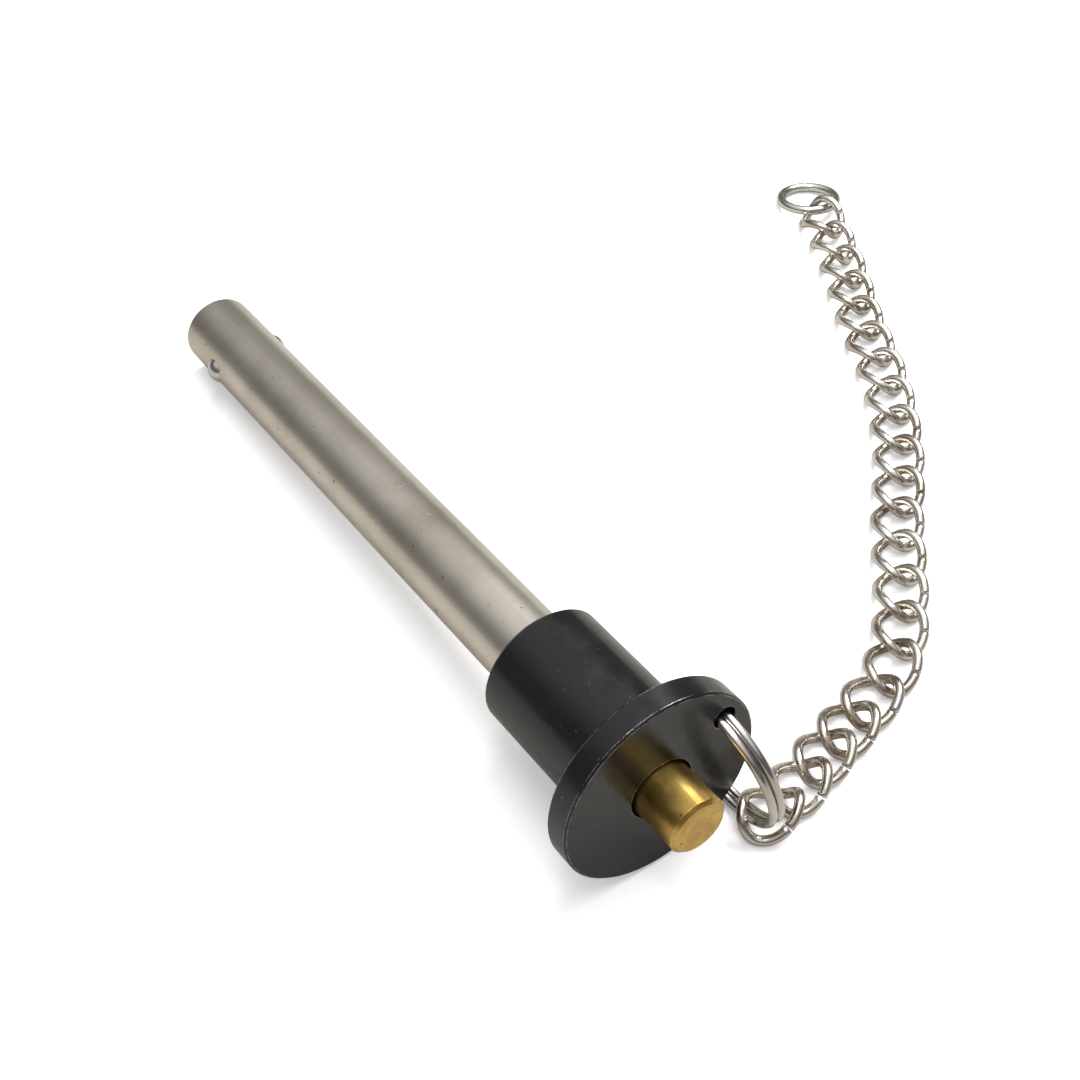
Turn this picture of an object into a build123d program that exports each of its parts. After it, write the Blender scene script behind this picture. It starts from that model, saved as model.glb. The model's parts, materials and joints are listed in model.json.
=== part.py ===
from build123d import *

import os
from math import acos, asin, atan, copysign, cos, degrees, pi, radians, sin, sqrt, tan

# A push-button ball lock pin with a lanyard chain, lying at rest. Millimetres, +Z up.
# The origin is on the pin's axis, in the face of the collar that seats against the work.
# The pin lies on its flange's rim and on its tip, so its axis falls gently towards +X.
# Stations along the pin are measured from the seating face: the tip is ahead of it (positive)
# and the handle and the button are behind it (negative).

# Shank
shank_diameter = 12.0
shank_reach = 98.0  # from the seating face to the tip
spigot_length = 14.0  # pressed into the collar
spigot_diameter = 10.4
tip_chamfer = 0.5
rod_bore_diameter = 5.0
head_bore_diameter = 6.2
head_bore_depth = 19.0  # from the tip

# Handle: a collar and a flange turned from one bar
collar_diameter = 19.0
collar_length = 22.5
collar_chamfer = 0.5
flange_diameter = 30.0
flange_thickness = 3.9
flange_chamfer = 0.3
lip_thickness = 2.5  # the front wall that keeps the button in
spring_chamber_diameter = 11.2
ring_hole_diameter = 3.5
ring_hole_radius = 12.0  # from the pin's axis
ring_hole_angle = 56.0  # degrees from straight up, towards -Y

# Button
button_diameter = 8.6
button_projection = 7.6
button_gap = 0.45  # around the button in the flange
button_chamfer = 0.5
button_travel = 3.5
shoulder_thickness = 2.0
pilot_diameter = 5.8
pilot_length = 3.0

# Locking balls
ball_diameter = 4.5
ball_projection = 1.0  # beyond the shank when locked
ball_sink = 0.05  # below the shank when released
ball_setback = 10.6  # from the tip to the balls' centres
ball_lip_angle = 22.0  # degrees, the staked rim that keeps a ball in

# Spindle
stud_diameter = 3.8
stud_length = 7.0
neck_diameter = 2.7
neck_spare = 0.6
head_recess = 4.0  # from the tip to the spindle's end

# Spring of square wire
spring_wire = 0.8
spring_diameter = 8.2  # mean
spring_turns = 5

# Split ring: two turns of wire
split_ring_diameter = 21.1  # mean
split_ring_wire = 1.2
split_ring_gap = 0.06  # between the turns
split_ring_jog = 42.0  # degrees over which the wire steps to the next turn
split_ring_end_gap = 6.0  # degrees from each end to the step

# Curb chain: the first few links lie pushed together, the others lie stretched
link_wire = 1.5
link_length = 10.8
link_width = 8.6
slack_steps = 4
slack_pitch = 6.3
taut_pitch = 7.28
link_twist = 36.0  # degrees at each end
end_link_twist = 52.0  # of the first and the last link
twist_easing = 4.0  # less for each link further from an end
link_squareness = 2.2  # exponent of the oval: 2 is an ellipse
link_butt_gap = 1.6  # degrees of the oval
last_link_roll = -10.0  # degrees about its own length, as the end ring draws it

# The chain's lie: heading of the first link, then stretches of (links, degrees turned at each)
first_heading = -86.0
chain_bends = ((1, 12), (3, 0), (2, 14), (2, 3), (2, -3), (5, 4), (2, -3), (3, 3))

# End ring
end_ring_diameter = 10.5  # mean
end_ring_wire = 1.7
end_ring_slack = 0.3

# Fits and clearances
slide_clearance = 0.1  # radial, between sliding pieces
ball_clearance = 0.05
end_clearance = 0.03  # between faces that bear on each other
hook_clearance = 0.4  # along the chain, where the first link goes round the split ring
hook_shift = 0.0  # how far that link's middle lies beside the ring's wire
wire_sides = 6  # flats around a thin bent wire
ring_sides = 8  # flats around the end ring's wire
path_points = 24  # along a link's centre line

shank_radius = shank_diameter / 2
collar_radius = collar_diameter / 2
flange_radius = flange_diameter / 2
button_radius = button_diameter / 2
ball_radius = ball_diameter / 2
chamber_radius = spring_chamber_diameter / 2
rod_bore_radius = rod_bore_diameter / 2
head_bore_radius = head_bore_diameter / 2

flange_back = -collar_length
flange_front = flange_back - flange_thickness
shank_end = -spigot_length
spigot_radius = spigot_diameter / 2
ball_station = shank_reach - ball_setback

# The pin's lie: both the flange's rim and the tip's edge touch the floor
rim_contact = flange_back - flange_chamfer
tip_contact = shank_reach - tip_chamfer
tilt = atan((flange_radius - shank_radius) / (tip_contact - rim_contact))
floor_height = -rim_contact * sin(tilt) - flange_radius * cos(tilt)
along = Vector(cos(tilt), 0, -sin(tilt))
upward = Vector(sin(tilt), 0, cos(tilt))
sideways = Vector(0, 1, 0)


def pin_plane(station=0.0):
    """A plane across the pin: its Z runs to the tip and its X points up from the axis."""
    return Plane(origin=along * station, x_dir=upward, z_dir=along)


# Profiles are drawn with X outwards from the axis and Y along the pin
profile_plane = Plane(origin=(0, 0, 0), x_dir=upward, z_dir=upward.cross(along))
pin_axis = Axis((0, 0, 0), along)


def turned(points):
    """A piece turned about the pin's axis from its (radius, station) outline."""
    with BuildPart() as piece:
        with BuildSketch(profile_plane):
            with BuildLine():
                Polyline(*points, close=True)
            make_face()
        revolve(axis=pin_axis)
    return piece


def keep(piece, name):
    piece.part.label = name
    export_step(piece.part, f"parts/{name}.step")


os.makedirs("parts", exist_ok=True)

# ---------------------------------------------------------------- handle
lip_bore_radius = button_radius + button_gap
lip_back = flange_front + lip_thickness
handle_outline = (
    (lip_bore_radius, flange_front),
    (flange_radius - flange_chamfer, flange_front),
    (flange_radius, flange_front + flange_chamfer),
    (flange_radius, flange_back - flange_chamfer),
    (flange_radius - flange_chamfer, flange_back),
    (collar_radius, flange_back),
    (collar_radius, -collar_chamfer),
    (collar_radius - collar_chamfer, 0),
    (spigot_radius, 0),
    (spigot_radius, shank_end),
    (chamber_radius, shank_end),
    (chamber_radius, lip_back),
    (lip_bore_radius, lip_back),
)
with BuildPart() as handle:
    with BuildSketch(profile_plane):
        with BuildLine():
            Polyline(*handle_outline, close=True)
        make_face()
    revolve(axis=pin_axis)
    with BuildSketch(pin_plane(flange_front)):
        with PolarLocations(ring_hole_radius, 1, start_angle=ring_hole_angle):
            Circle(ring_hole_diameter / 2)
    extrude(amount=flange_thickness, mode=Mode.SUBTRACT)
keep(handle, "handle")

# ---------------------------------------------------------------- shank
ball_out = shank_radius + ball_projection - ball_radius  # a locked ball's centre
ball_travel = ball_projection + ball_sink
pocket_radius = ball_radius + ball_clearance
lip_start = ball_out + pocket_radius * tan(radians(ball_lip_angle) / 2)
lip_end = shank_radius + ball_clearance
lip_radius = pocket_radius - (lip_end - lip_start) * tan(radians(ball_lip_angle))
head_bore_start = shank_reach - head_bore_depth
shank_outline = (
    (rod_bore_radius, shank_end),
    (spigot_radius, shank_end),
    (spigot_radius, 0),
    (shank_radius, 0),
    (shank_radius, shank_reach - tip_chamfer),
    (shank_radius - tip_chamfer, shank_reach),
    (head_bore_radius, shank_reach),
    (head_bore_radius, head_bore_start),
    (rod_bore_radius, head_bore_start),
)
ball_centre = along * ball_station
with BuildPart() as shank:
    with BuildSketch(profile_plane):
        with BuildLine():
            Polyline(*shank_outline, close=True)
        make_face()
    revolve(axis=pin_axis)
    for side in (1, -1):
        with BuildSketch(Plane(origin=ball_centre, x_dir=along, z_dir=along.cross(sideways * side))):
            with BuildLine():
                Polyline(
                    (0, 0),
                    (pocket_radius, 0),
                    (pocket_radius, lip_start),
                    (lip_radius, lip_end),
                    (0, lip_end),
                    close=True,
                )
            make_face()
        revolve(axis=Axis(ball_centre, sideways), mode=Mode.SUBTRACT)
keep(shank, "shank")

# ---------------------------------------------------------------- spindle
ramp_slope = ball_travel / button_travel
ramp_angle = atan(ramp_slope)
ramp_at_balls = ball_out - (ball_radius + end_clearance) / cos(ramp_angle)
neck_radius = neck_diameter / 2
spindle_head_radius = head_bore_radius - slide_clearance
rod_radius = rod_bore_radius - slide_clearance
ramp_start = ball_station + (neck_radius - ramp_at_balls) / ramp_slope
ramp_end = ball_station + (spindle_head_radius - ramp_at_balls) / ramp_slope
ball_in = ball_out - ball_travel
ball_reach = sqrt(ball_radius**2 - (ball_in - rod_radius) ** 2)
neck_start = ball_station - button_travel - ball_reach - neck_spare
shoulder_front = lip_back + end_clearance
shoulder_back = shoulder_front + shoulder_thickness
pilot_end = shoulder_back + pilot_length
stud_radius = stud_diameter / 2
stud_start = pilot_end - stud_length
spindle = turned(
    (
        (0, stud_start),
        (stud_radius, stud_start),
        (stud_radius, pilot_end),
        (rod_radius, pilot_end),
        (rod_radius, neck_start),
        (neck_radius, neck_start),
        (neck_radius, ramp_start),
        (spindle_head_radius, ramp_end),
        (spindle_head_radius, shank_reach - head_recess),
        (0, shank_reach - head_recess),
    )
)
keep(spindle, "spindle")

# ---------------------------------------------------------------- button
button_end = flange_front - button_projection
shoulder_radius = chamber_radius - slide_clearance
pilot_radius = pilot_diameter / 2
button = turned(
    (
        (0, button_end),
        (button_radius - button_chamfer, button_end),
        (button_radius, button_end + button_chamfer),
        (button_radius, shoulder_front),
        (shoulder_radius, shoulder_front),
        (shoulder_radius, shoulder_back),
        (pilot_radius, shoulder_back),
        (pilot_radius, pilot_end),
        (stud_radius, pilot_end),
        (stud_radius, stud_start),
        (0, stud_start),
    )
)
keep(button, "button")

# ---------------------------------------------------------------- locking balls
for side, name in ((1, "ball_left"), (-1, "ball_right")):
    centre = ball_centre + sideways * (side * ball_out)
    with BuildPart() as ball:
        with BuildSketch(Plane(origin=centre, x_dir=sideways, z_dir=upward)):
            with BuildLine():
                CenterArc((0, 0), ball_radius, 0, 180)
                Line((-ball_radius, 0), (ball_radius, 0))
            make_face()
        revolve(axis=Axis(centre, sideways))
    keep(ball, name)

# ---------------------------------------------------------------- spring
spring_start = shoulder_back + end_clearance + spring_wire / 2
spring_height = shank_end - end_clearance - spring_wire / 2 - spring_start
with BuildPart() as spring:
    with BuildLine():
        coil = Helix(
            pitch=spring_height / spring_turns,
            height=spring_height,
            radius=spring_diameter / 2,
            center=along * spring_start,
            direction=along,
        )
    with BuildSketch(Plane(origin=coil @ 0, x_dir=along, z_dir=coil % 0)):
        Rectangle(spring_wire, spring_wire)
    sweep(is_frenet=True)
keep(spring, "spring")


def flats_radius(diameter, sides):
    """The corner radius of a flat-sided section with the area of a round wire."""
    return diameter / 2 * sqrt(2 * pi / (sides * sin(2 * pi / sides)))


# ---------------------------------------------------------------- split ring
# It hangs in the flange's hole by its upper inside and leans out until it rests on the floor
hole_station = (flange_front + flange_back) / 2
hole_turn = radians(ring_hole_angle)
hole_centre = (
    along * hole_station
    + upward * (ring_hole_radius * cos(hole_turn))
    - sideways * (ring_hole_radius * sin(hole_turn))
)
ring_radius = split_ring_diameter / 2
turn_spacing = split_ring_wire + split_ring_gap
ring_drop = 0.3
ring_room = hole_centre.Z - ring_drop * cos(tilt) - floor_height - flats_radius(split_ring_wire, wire_sides)
ring_height = 2 * ring_radius * cos(tilt)
ring_spread = turn_spacing / 2
ring_lean = atan(ring_spread / ring_height) + acos(ring_room / sqrt(ring_height**2 + ring_spread**2))
hanging = upward * -cos(ring_lean) - sideways * sin(ring_lean)
ring_centre = hole_centre - upward * ring_drop + hanging * ring_radius
ring_plane = Plane(origin=ring_centre, x_dir=along * -1, z_dir=(along * -1).cross(hanging))
half_jog = split_ring_jog / 2
jog_at = 150.0  # degrees round from the front towards the floor
lay = half_jog + split_ring_end_gap
with BuildPart() as split_ring:
    with BuildLine(ring_plane):
        first = CenterArc((0, 0, -turn_spacing / 2), ring_radius, jog_at + lay, 360 - lay - half_jog)
        second = CenterArc((0, 0, turn_spacing / 2), ring_radius, jog_at + half_jog, 360 - lay - half_jog)
        Spline(first @ 1, second @ 0, tangents=(first % 1, second % 0))
    first_middle = ring_plane.from_local_coords((0, 0, -turn_spacing / 2))
    with BuildSketch(Plane(origin=first @ 0, x_dir=(first @ 0) - first_middle, z_dir=first % 0)):
        RegularPolygon(flats_radius(split_ring_wire, wire_sides), wire_sides)
    sweep(transition=Transition.ROUND)
keep(split_ring, "split_ring")

# ---------------------------------------------------------------- chain links
half_length = (link_length - link_wire) / 2
half_width = (link_width - link_wire) / 2


def link_point(angle, end_twist):
    """A point of a link's centre line: a squarish oval twisted about its length."""
    fullness = 2 / link_squareness
    x = half_length * copysign(abs(cos(angle)) ** fullness, cos(angle))
    y = half_width * copysign(abs(sin(angle)) ** fullness, sin(angle))
    twist = -end_twist * x / half_length
    return (x, y * cos(twist), y * sin(twist))


path_start = radians(-90 + link_butt_gap / 2)
path_step = radians(360 - link_butt_gap) / path_points


def link_path(end_twist):
    return [link_point(path_start + path_step * step, end_twist) for step in range(path_points + 1)]


def link_height(end_twist, roll):
    """How high a link's middle lies above the floor when it's rolled about its length."""
    lowest = min(y * sin(roll) + z * cos(roll) for x, y, z in link_path(end_twist))
    return flats_radius(link_wire, wire_sides) - lowest


headings = [first_heading]
for links, turn in chain_bends:
    for link in range(links):
        headings.append(headings[-1] + turn)
link_count = len(headings)
rolls = [0.0] * (link_count - 1) + [radians(last_link_roll)]
twists = []
for link in range(link_count):
    from_end = min(link, link_count - 1 - link)
    twists.append(radians(max(link_twist, end_link_twist - twist_easing * from_end)))
directions = [Vector(cos(radians(heading)), sin(radians(heading)), 0) for heading in headings]

# The first link hooks the split ring low on its front side
first_height = floor_height + link_height(twists[0], rolls[0])
hook_angle = acos((ring_centre.Z - first_height) / (ring_radius * cos(ring_lean)))
hook_point = ring_centre - along * (ring_radius * sin(hook_angle)) + hanging * (ring_radius * cos(hook_angle))
hook_reach = half_length - (split_ring_wire + turn_spacing + link_wire) / 2 - hook_clearance
hook_offset = directions[0] * hook_reach + Vector(0, 0, 1).cross(directions[0]) * hook_shift
link_centres = [Vector(hook_point.X, hook_point.Y, first_height) + hook_offset]
for link in range(1, link_count):
    pitch = slack_pitch if link <= slack_steps else taut_pitch
    spot = link_centres[-1] + (directions[link - 1] + directions[link]) * (pitch / 2)
    link_centres.append(Vector(spot.X, spot.Y, floor_height + link_height(twists[link], rolls[link])))
last_height = link_centres[-1].Z

for link in range(link_count):
    across = Vector(0, 0, 1).cross(directions[link])
    link_up = Vector(0, 0, 1) * cos(rolls[link]) - across * sin(rolls[link])
    link_plane = Plane(origin=link_centres[link], x_dir=directions[link], z_dir=link_up)
    with BuildPart() as chain_link:
        with BuildLine(link_plane):
            centre_line = Polyline(*link_path(twists[link]))
        with BuildSketch(Plane(origin=centre_line @ 0, x_dir=link_up, z_dir=centre_line % 0)):
            RegularPolygon(flats_radius(link_wire, wire_sides), wire_sides)
        sweep(transition=Transition.RIGHT)
    keep(chain_link, f"link_{link + 1:02d}")

# ---------------------------------------------------------------- end ring
# Its near side hangs in the last link and its far side lies on the floor
end_radius = end_ring_diameter / 2
ring_corner = flats_radius(end_ring_wire, ring_sides)
end_reach = half_length - (link_wire + end_ring_wire) / 2 - end_ring_slack
end_crossing = link_centres[-1] + directions[-1] * end_reach
end_slope = asin((last_height - floor_height - ring_corner) / end_ring_diameter)
end_direction = directions[-1] * cos(end_slope) - Vector(0, 0, 1) * sin(end_slope)
end_across = Vector(0, 0, 1).cross(directions[-1])
end_centre = end_crossing + end_direction * end_radius
end_normal = end_direction.cross(end_across)
with BuildPart() as end_ring:
    with BuildSketch(Plane(origin=end_crossing, x_dir=end_direction, z_dir=end_across)):
        RegularPolygon(ring_corner, ring_sides, rotation=180 / ring_sides)
    revolve(axis=Axis(end_centre, end_normal))
keep(end_ring, "end_ring")
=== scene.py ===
import json
import math

import bpy
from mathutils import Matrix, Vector


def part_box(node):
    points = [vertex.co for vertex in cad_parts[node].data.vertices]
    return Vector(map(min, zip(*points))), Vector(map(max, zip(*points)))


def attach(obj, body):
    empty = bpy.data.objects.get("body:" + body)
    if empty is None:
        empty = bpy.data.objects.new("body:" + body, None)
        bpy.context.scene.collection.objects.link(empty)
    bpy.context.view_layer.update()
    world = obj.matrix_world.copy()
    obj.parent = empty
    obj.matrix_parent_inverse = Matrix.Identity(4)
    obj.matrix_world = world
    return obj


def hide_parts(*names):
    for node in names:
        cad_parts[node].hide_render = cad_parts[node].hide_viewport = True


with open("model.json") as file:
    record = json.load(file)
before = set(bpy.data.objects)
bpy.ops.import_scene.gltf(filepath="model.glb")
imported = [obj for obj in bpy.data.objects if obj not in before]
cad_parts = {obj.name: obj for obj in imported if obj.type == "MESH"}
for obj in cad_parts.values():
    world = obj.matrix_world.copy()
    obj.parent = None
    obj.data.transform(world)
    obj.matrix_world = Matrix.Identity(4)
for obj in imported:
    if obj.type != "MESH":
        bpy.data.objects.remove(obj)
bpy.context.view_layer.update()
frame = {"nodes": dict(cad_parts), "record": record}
nodes = frame["nodes"]
MM = 0.001
VERTICAL = Vector((0, 0, 1))

# The pin's lie, as in the solids
TILT = math.radians(4.2785)
ALONG = Vector((math.cos(TILT), 0, -math.sin(TILT)))
FLOOR = min(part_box(name)[0].z for name in ("handle", "shank"))


# ---------------------------------------------------------------- node helpers
class Mat:
    """A procedural material. Most methods add a node and return its output."""

    def __init__(self, name):
        self.mat = bpy.data.materials.new(name)
        self.mat.use_nodes = True
        self.tree = self.mat.node_tree
        self.bsdf = self.tree.nodes["Principled BSDF"]

    def add(self, kind, inputs=(), out=0, **settings):
        node = self.tree.nodes.new(kind)
        for key, value in settings.items():
            setattr(node, key, value)
        for key, value in dict(inputs).items():
            if isinstance(value, bpy.types.NodeSocket):
                self.tree.links.new(value, node.inputs[key])
            else:
                node.inputs[key].default_value = value
        return node.outputs[out]

    def math(self, operation, a, b=0.0):
        return self.add("ShaderNodeMath", {0: a, 1: b}, operation=operation)

    def vector(self, operation, inputs, out="Vector"):
        return self.add("ShaderNodeVectorMath", inputs, out, operation=operation)

    def place(self):
        return self.add("ShaderNodeTexCoord", out="Object")

    def noise(self, scale, detail=4.0, rough=0.55, vector=None):
        vector = vector or self.place()
        return self.add(
            "ShaderNodeTexNoise",
            {"Vector": vector, "Scale": scale, "Detail": detail, "Roughness": rough},
        )

    def ramp(self, value, low, high, a=0.0, b=1.0):
        inputs = {"Value": value, "From Min": low, "From Max": high}
        return self.add("ShaderNodeMapRange", {**inputs, "To Min": a, "To Max": b})

    def mix(self, factor, a, b):
        node = self.tree.nodes.new("ShaderNodeMix")
        node.data_type = "RGBA"
        self.feed(node.inputs[0], factor)
        self.feed(node.inputs[6], a)
        self.feed(node.inputs[7], b)
        return node.outputs[2]

    def feed(self, socket, value):
        if isinstance(value, bpy.types.NodeSocket):
            self.tree.links.new(value, socket)
        elif hasattr(value, "__len__") and len(value) == 3:
            socket.default_value = (*value, 1.0)
        else:
            socket.default_value = value

    def set(self, name, value):
        self.feed(self.bsdf.inputs[name], value)

    def rounding(self, radius, samples=4):
        """The normal as if edges were rounded to a radius."""
        return self.add("ShaderNodeBevel", {"Radius": radius}, samples=samples)

    def edge(self, radius, low, high):
        """Near 1 on sharp edges, where a rounded normal leaves the flat one."""
        rounded = self.rounding(radius, samples=6)
        flat = self.add("ShaderNodeNewGeometry", out="Normal")
        dot = self.vector("DOT_PRODUCT", {0: rounded, 1: flat}, "Value")
        return self.ramp(self.math("SUBTRACT", 1.0, dot), low, high)

    def station(self):
        """Distance along the pin's axis."""
        return self.vector("DOT_PRODUCT", {0: self.place(), 1: tuple(ALONG)}, "Value")

    def radius(self):
        """Distance from the pin's axis."""
        foot = self.vector("SCALE", {0: tuple(ALONG), "Scale": self.station()})
        out = self.vector("SUBTRACT", {0: self.place(), 1: foot})
        return self.vector("LENGTH", {0: out}, "Value")

    def rings(self, value, scale):
        """Fine random rings or grooves at every value of a length."""
        line = self.add("ShaderNodeCombineXYZ", {0: value})
        return self.noise(scale, 3.0, 0.6, line)

    def bump(self, height, distance, strength=1.0, normal=None):
        inputs = {"Height": height, "Distance": distance, "Strength": strength}
        if normal is not None:
            inputs["Normal"] = normal
        return self.add("ShaderNodeBump", inputs)


METAL_GRAIN = 900.0
METAL_ROUNDING = 0.00008
METAL_GRAIN_HEIGHT = 0.00001


def metal(name, base, dark, rough, spread=0.12, tone=60.0):
    """Bare metal with patches of a darker colour and a fine grain."""
    m = Mat(name)
    patch = m.ramp(m.noise(tone, 5.0), 0.4, 0.68)
    m.set("Base Color", m.mix(patch, base, dark))
    m.set("Metallic", 1.0)
    grain = m.noise(METAL_GRAIN, 4.0)
    m.set("Roughness", m.ramp(grain, 0.3, 0.75, rough, rough + spread))
    smooth = m.rounding(METAL_ROUNDING)
    fine = m.noise(METAL_GRAIN * 2.2, 3.0)
    m.set("Normal", m.bump(fine, METAL_GRAIN_HEIGHT, 0.5, smooth))
    return m


# ---------------------------------------------------------------- finishes
NICKEL, NICKEL_STAIN = (0.70, 0.65, 0.575), (0.53, 0.475, 0.405)
NICKEL_PIT = (0.16, 0.14, 0.12)
NICKEL_ROUNDING, GROOVE_HEIGHT, PIT_DEPTH = 0.0001, 0.000006, 0.00004

shank = Mat("nickel")
turning = shank.rings(shank.station(), 5200.0)
pits = shank.ramp(shank.noise(900.0, 3.0), 0.69, 0.73)
stain = shank.ramp(shank.noise(55.0, 6.0, 0.65), 0.45, 0.72)
tone = shank.mix(stain, NICKEL, NICKEL_STAIN)
shank.set("Base Color", shank.mix(pits, tone, NICKEL_PIT))
shank.set("Metallic", 1.0)
shank.set("Roughness", shank.ramp(turning, 0.3, 0.7, 0.27, 0.38))
rounded = shank.rounding(NICKEL_ROUNDING)
turned = shank.bump(turning, GROOVE_HEIGHT, 0.5, rounded)
whole = shank.math("SUBTRACT", 1.0, pits)
shank.set("Normal", shank.bump(whole, PIT_DEPTH, 0.6, turned))

COAT, COAT_MARK = (0.006, 0.006, 0.0065), (0.10, 0.095, 0.09)
BARE_EDGE = (0.62, 0.60, 0.58)
WEAR_WIDTH, COAT_ROUNDING, TURN_MARK_HEIGHT = 0.0002, 0.00015, 0.000003
SCRATCH_STRETCH = (40.0, 900.0, 900.0)

black = Mat("black")
wear = black.edge(WEAR_WIDTH, 0.03, 0.1)
broken = black.ramp(black.noise(620.0, 4.0, 0.7), 0.44, 0.56)
worn = black.math("MULTIPLY", wear, broken)
scratch_place = black.add(
    "ShaderNodeMapping", {"Vector": black.place(), "Scale": SCRATCH_STRETCH}
)
scratch = black.ramp(black.noise(1.0, 5.0, 0.6, scratch_place), 0.68, 0.74)
dust = black.ramp(black.noise(1500.0, 2.0), 0.71, 0.75, 0.0, 0.5)
marks = black.math("MAXIMUM", black.math("MULTIPLY", scratch, 0.25), dust)
coat = black.mix(marks, COAT, COAT_MARK)
black.set("Base Color", black.mix(worn, coat, BARE_EDGE))
black.set("Metallic", worn)
black.set("Specular IOR Level", 0.5)
turn_marks = black.rings(black.radius(), 2600.0)
black.set("Roughness", black.ramp(black.noise(300.0, 4.0), 0.3, 0.7, 0.16, 0.28))
round_edge = black.rounding(COAT_ROUNDING)
black.set("Normal", black.bump(turn_marks, TURN_MARK_HEIGHT, 0.3, round_edge))

BRASS, BRASS_TARNISH = (0.66, 0.44, 0.13), (0.42, 0.25, 0.055)
BRASS_NICK = (0.14, 0.08, 0.03)
BRASS_ROUNDING, BRASS_RING_HEIGHT = 0.0001, 0.00002

brass = Mat("brass")
brass_rings = brass.rings(brass.radius(), 3400.0)
tarnish = brass.ramp(brass.noise(260.0, 6.0, 0.7), 0.42, 0.7)
brass_tone = brass.mix(tarnish, BRASS, BRASS_TARNISH)
nick = brass.ramp(brass.noise(1200.0, 3.0), 0.68, 0.73)
brass.set("Base Color", brass.mix(nick, brass_tone, BRASS_NICK))
brass.set("Metallic", 1.0)
brass.set("Roughness", brass.ramp(brass_rings, 0.3, 0.7, 0.22, 0.4))
brass_edge = brass.rounding(BRASS_ROUNDING)
brass.set("Normal", brass.bump(brass_rings, BRASS_RING_HEIGHT, 0.7, brass_edge))

finishes = {
    "nickel": shank,
    "black": black,
    "brass": brass,
    "steel": metal("steel", (0.60, 0.58, 0.55), (0.45, 0.43, 0.40), 0.28),
    "chrome": metal("chrome", (0.80, 0.80, 0.81), (0.62, 0.61, 0.60), 0.07, 0.08),
    "ring": metal("ring", (0.74, 0.72, 0.68), (0.48, 0.44, 0.40), 0.14, 0.14),
    "chain": metal(
        "chain", (0.74, 0.70, 0.64), (0.46, 0.40, 0.33), 0.16, 0.16, tone=140.0
    ),
}
slots = {part["node"]: part["material_slot"] for part in frame["record"]["subparts"]}
for name, node in nodes.items():
    node.data.materials.clear()
    node.data.materials.append(finishes[slots[name]].mat)


# ---------------------------------------------------------------- round wire
def wire(name, path, radius, sides, slot, closed=False):
    """Round wire along a path of points, with flat cut ends unless it is closed."""
    count = len(path)
    points, faces = [], []
    normal = None
    for i, point in enumerate(path):
        after = path[(i + 1) % count] if closed else path[min(i + 1, count - 1)]
        before = path[i - 1] if closed or i else path[0]
        tangent = (after - before).normalized()
        if normal is None:
            normal = tangent.orthogonal()
        normal = (normal - tangent * normal.dot(tangent)).normalized()
        side = tangent.cross(normal)
        for k in range(sides):
            angle = 2 * math.pi * k / sides
            outward = normal * math.cos(angle) + side * math.sin(angle)
            points.append(point + outward * radius)
    rows = count if closed else count - 1
    # A closed wire's section arrives back turned, so its last row is matched up
    offset = 0
    if closed:
        travelled = tangent.cross(normal)
        spoke = points[0] - path[0]
        turn = math.atan2(spoke.dot(travelled), spoke.dot(normal))
        offset = round(turn / (2 * math.pi) * sides)
    for i in range(rows):
        last = i == count - 1
        for k in range(sides):
            low, high = i * sides + k, i * sides + (k + 1) % sides
            j = 0 if last else i + 1
            shift = -offset if last else 0
            low_next = j * sides + (k + shift) % sides
            high_next = j * sides + (k + 1 + shift) % sides
            faces.append((low, high, high_next, low_next))
    if not closed:
        faces.append(tuple(reversed(range(sides))))
        faces.append(tuple((count - 1) * sides + k for k in range(sides)))
    mesh = bpy.data.meshes.new(name)
    mesh.from_pydata([tuple(p) for p in points], [], faces)
    mesh.materials.append(finishes[slot].mat)
    for face in mesh.polygons:
        face.use_smooth = len(face.vertices) == 4
    obj = bpy.data.objects.new(name, mesh)
    bpy.context.scene.collection.objects.link(obj)
    return obj


# Chain links, on the same centre lines as the solids
LINK_WIRE = 1.5 * MM
HALF_LENGTH = (10.8 * MM - LINK_WIRE) / 2
HALF_WIDTH = (8.6 * MM - LINK_WIRE) / 2
SQUARENESS = 2.2  # 2 is a plain oval
LINK_TWIST, END_TWIST, EASING = 36, 52, 4  # degrees; the easing is per link
BUTT_GAP = 1.6  # degrees of the oval
FIRST_HEADING, LAST_ROLL = -86, -10
BENDS = ((1, 12), (3, 0), (2, 14), (2, 3), (2, -3), (5, 4), (2, -3), (3, 3))
SLACK_STEPS, SLACK_PITCH, TAUT_PITCH = 4, 6.3 * MM, 7.28 * MM
LINK_STEPS, LINK_SIDES = 84, 14


def link_point(angle, end_twist):
    c, s = math.cos(angle), math.sin(angle)
    x = HALF_LENGTH * math.copysign(abs(c) ** (2 / SQUARENESS), c)
    y = HALF_WIDTH * math.copysign(abs(s) ** (2 / SQUARENESS), s)
    twist = -end_twist * x / HALF_LENGTH
    return Vector((x, y * math.cos(twist), y * math.sin(twist)))


def heading_vector(degrees):
    angle = math.radians(degrees)
    return Vector((math.cos(angle), math.sin(angle), 0))


def middle(name):
    low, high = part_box(name)
    return (low + high) / 2


start = math.radians(-90 + BUTT_GAP / 2)
sweep = math.radians(360 - BUTT_GAP)
headings = [FIRST_HEADING]
for links, turn in BENDS:
    for _ in range(links):
        headings.append(headings[-1] + turn)
directions = [heading_vector(heading) for heading in headings]
rolls = [0.0] * (len(headings) - 1) + [math.radians(LAST_ROLL)]

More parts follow.
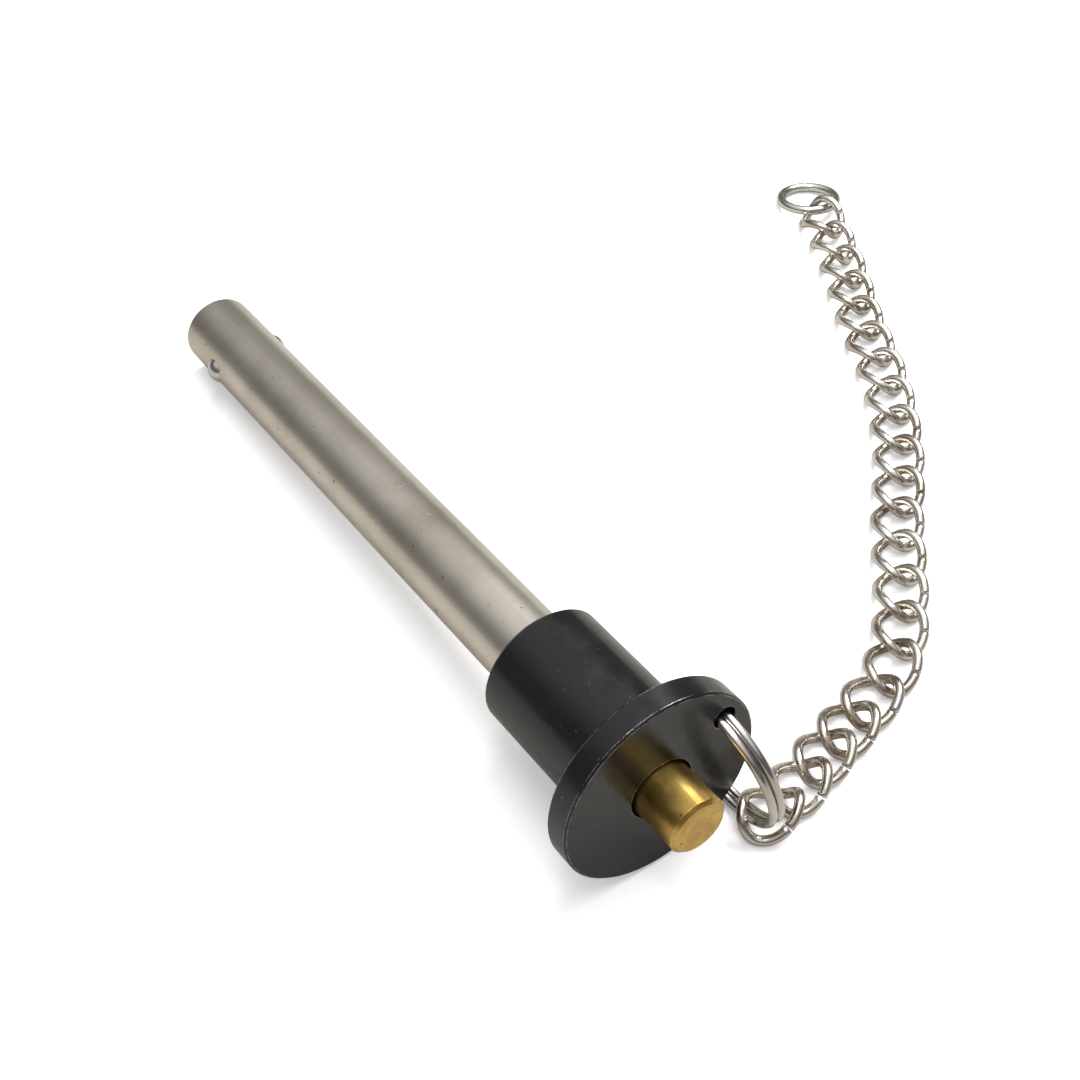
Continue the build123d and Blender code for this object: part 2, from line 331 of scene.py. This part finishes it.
centre = None
for k, direction in enumerate(directions):
    name = f"link_{k + 1:02d}"
    if centre is None:
        centre = middle(name)
    else:
        pitch = SLACK_PITCH if k <= SLACK_STEPS else TAUT_PITCH
        centre = centre + (directions[k - 1] + direction) * (pitch / 2)
    spot = Vector((centre.x, centre.y, middle(name).z))
    across = VERTICAL.cross(direction)
    up = VERTICAL * math.cos(rolls[k]) - across * math.sin(rolls[k])
    left = up.cross(direction)
    from_end = min(k, len(headings) - 1 - k)
    end_twist = math.radians(max(LINK_TWIST, END_TWIST - EASING * from_end))
    path = []
    for i in range(LINK_STEPS + 1):
        p = link_point(start + sweep * i / LINK_STEPS, end_twist)
        path.append(spot + direction * p.x + left * p.y + up * p.z)
    obj = wire("round_" + name, path, LINK_WIRE / 2, LINK_SIDES, "chain")
    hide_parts(name)
    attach(obj, name)

# The plain ring at the chain's end, leaning on the last link
END_RADIUS = 10.5 / 2 * MM
END_WIRE = 1.7 * MM
END_CORNER = 0.896 * MM  # reach of the solid's eight-sided wire from its centre line
END_STEPS, END_SIDES = 120, 20
end_centre = middle("end_ring")
slope = math.asin((end_centre.z - FLOOR - END_CORNER) / END_RADIUS)
forward = directions[-1] * math.cos(slope) - VERTICAL * math.sin(slope)
beside = VERTICAL.cross(directions[-1])
path = []
for i in range(END_STEPS):
    angle = 2 * math.pi * i / END_STEPS
    spoke = forward * math.cos(angle) + beside * math.sin(angle)
    path.append(end_centre + spoke * END_RADIUS)
end_ring = wire("round_end_ring", path, END_WIRE / 2, END_SIDES, "ring", closed=True)
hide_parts("end_ring")
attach(end_ring, "end_ring")

# The split ring: two turns of wire with a step between them, hanging as the solid does
RING_RADIUS = 21.1 / 2 * MM
RING_WIRE = 1.2 * MM
SPACING = 1.26 * MM  # between the centre lines of the two turns
RING_CENTRE = Vector((-24.678, -11.837, -2.134)) * MM
RING_START, HALF_STEP, END_TRIM = 150, 21, 27  # degrees round the ring
RING_INTERVAL, RING_SIDES = 3, 18
hang = Vector((-0.0734, -0.17905, -0.9811)).normalized()
ring_x = -ALONG
ring_z = ring_x.cross(hang)
path = []
first_end = RING_START + 360 - HALF_STEP
second_start = RING_START + 360 + HALF_STEP
ring_end = RING_START + 720 - END_TRIM
for degrees in range(RING_START + END_TRIM, ring_end + 1, RING_INTERVAL):
    share = min(1.0, max(0.0, (degrees - first_end) / (second_start - first_end)))
    layer = (share * share * (3 - 2 * share) - 0.5) * SPACING
    angle = math.radians(degrees)
    spot = ring_x * math.cos(angle) + hang * math.sin(angle)
    path.append(RING_CENTRE + spot * RING_RADIUS + ring_z * layer)
split_ring = wire("round_split_ring", path, RING_WIRE / 2, RING_SIDES, "ring")
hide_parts("split_ring")
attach(split_ring, "split_ring")

# ---------------------------------------------------------------- set and light
# Reflections see the paper darker than the camera does
PAPER, PAPER_MOTTLE = (0.93, 0.93, 0.93), (0.95, 0.95, 0.95)
PAPER_REFLECTED = (0.42, 0.40, 0.37)
PAPER_GLOW = 0.22
PAPER_SIZE, PAPER_MIDDLE, PAPER_DROP = 6.0, (0.03, -0.04), 0.00002

paper = Mat("paper")
sheet = paper.mix(paper.noise(30.0), PAPER, PAPER_MOTTLE)
is_glossy = paper.add("ShaderNodeLightPath", out="Is Glossy Ray")
paper.set("Base Color", paper.mix(is_glossy, sheet, PAPER_REFLECTED))
paper.set("Roughness", 0.9)
is_camera = paper.add("ShaderNodeLightPath", out="Is Camera Ray")
paper.set("Emission Color", (1.0, 1.0, 1.0))
paper.set("Emission Strength", paper.math("MULTIPLY", is_camera, PAPER_GLOW))
bpy.ops.mesh.primitive_plane_add(
    size=PAPER_SIZE, location=(*PAPER_MIDDLE, FLOOR - PAPER_DROP)
)
floor = bpy.context.object
floor.name = "floor"
floor.data.materials.append(paper.mat)

# Glossy rays see a dim room that brightens overhead; all others an even white
ROOM = 0.8
OVERHEAD = {"From Min": 0.45, "From Max": 0.95, "To Min": 0.16, "To Max": 1.0}

world = bpy.data.worlds.new("studio")
world.use_nodes = True
sky = world.node_tree
background = sky.nodes["Background"]
view = sky.nodes.new("ShaderNodeTexCoord")
split = sky.nodes.new("ShaderNodeSeparateXYZ")
sky.links.new(view.outputs["Generated"], split.inputs[0])
overhead = sky.nodes.new("ShaderNodeMapRange")
for key, value in OVERHEAD.items():
    overhead.inputs[key].default_value = value
sky.links.new(split.outputs[2], overhead.inputs["Value"])
path_kind = sky.nodes.new("ShaderNodeLightPath")
choose = sky.nodes.new("ShaderNodeMix")
sky.links.new(path_kind.outputs["Is Glossy Ray"], choose.inputs[0])
choose.inputs[2].default_value = ROOM
sky.links.new(overhead.outputs[0], choose.inputs[3])
sky.links.new(choose.outputs[0], background.inputs[1])
background.inputs[0].default_value = (1.0, 1.0, 1.0, 1.0)
bpy.context.scene.world = world


def aim(obj, gaze):
    obj.rotation_euler = gaze.to_track_quat("-Z", "Y").to_euler()


LAMP_TARGET = Vector((0.03, -0.03, 0.0))


def lamp(name, place, size, power):
    data = bpy.data.lights.new(name, "AREA")
    data.shape = "RECTANGLE"
    data.size, data.size_y = size
    data.energy = power
    obj = bpy.data.objects.new(name, data)
    bpy.context.scene.collection.objects.link(obj)
    obj.location = place
    aim(obj, LAMP_TARGET - Vector(place))


lamp("key", (0.10, -0.42, 0.55), (0.4, 0.25), 4.5)
lamp("top", (0.0, 0.0, 0.8), (0.16, 0.6), 2.5)

# ---------------------------------------------------------------- camera
LENS, SENSOR_WIDTH, NEAREST = 53.82, 36.0, 0.01
CAMERA_PLACE = Vector((-112.85, 79.07, 171.77)) * MM
GAZE = Vector((0.5607, -0.3914, -0.7297))

camera = bpy.data.objects.new("camera", bpy.data.cameras.new("camera"))
bpy.context.scene.collection.objects.link(camera)
camera.data.lens = LENS
camera.data.sensor_width = SENSOR_WIDTH
camera.data.clip_start = NEAREST
camera.location = CAMERA_PLACE
aim(camera, GAZE)
bpy.context.scene.camera = camera
bpy.context.scene.view_settings.view_transform = "Standard"
